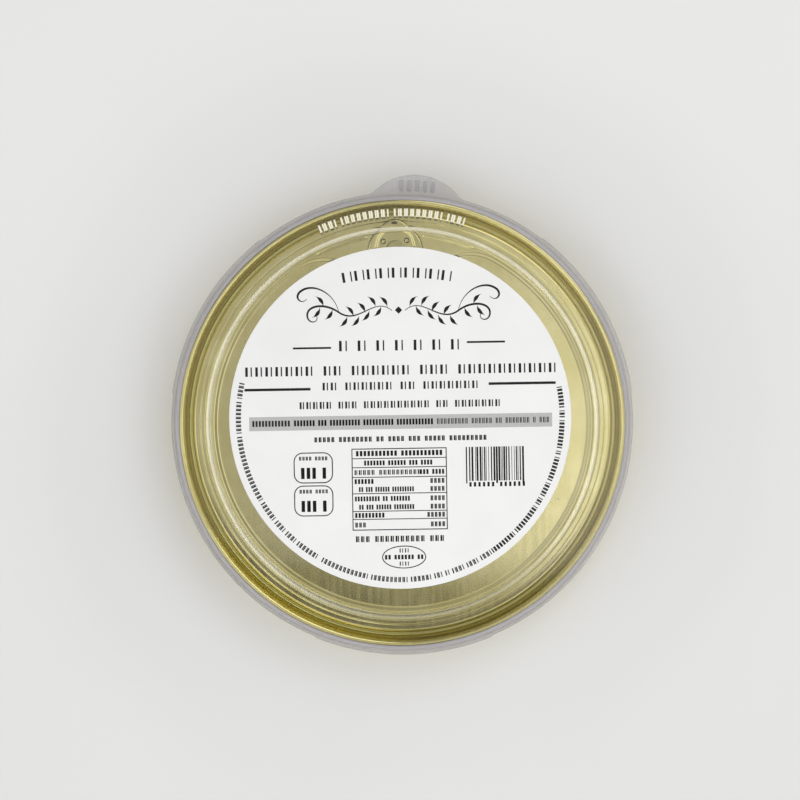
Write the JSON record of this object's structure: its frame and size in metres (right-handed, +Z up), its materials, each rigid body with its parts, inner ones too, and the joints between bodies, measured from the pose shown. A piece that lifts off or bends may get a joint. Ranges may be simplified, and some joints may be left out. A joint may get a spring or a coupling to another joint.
{
  "type": "tin of anchovies",
  "caption": "Flat round tin with an easy-open end and ring pull under a clear push-on cap with a thumb tab, and a round paper label on the cap.",
  "frame": {"origin": "centre of the base on the can's axis, level with the ring the tin stands on", "axes": "+Z up along the can's axis, +Y towards the ring pull's nose and the cap's thumb tab, +X to the right when the label is read"},
  "size_m": [0.1334, 0.1387, 0.0167],
  "materials": {
    "lacquered_body": "gold lacquered tinplate, satin gloss",
    "lacquered_end": "gold lacquered tinplate, satin gloss",
    "lacquered_pull": "gold lacquered steel, satin gloss",
    "clear_plastic": "clear injection-moulded plastic, glossy",
    "label_paper": "white coated paper, satin"
  },
  "bodies": {
    "root": {"can_body": "lacquered_body", "can_end": "lacquered_end", "ring_pull": "lacquered_pull", "overcap": "clear_plastic", "label": "label_paper"}
  },
  "joints": []
}
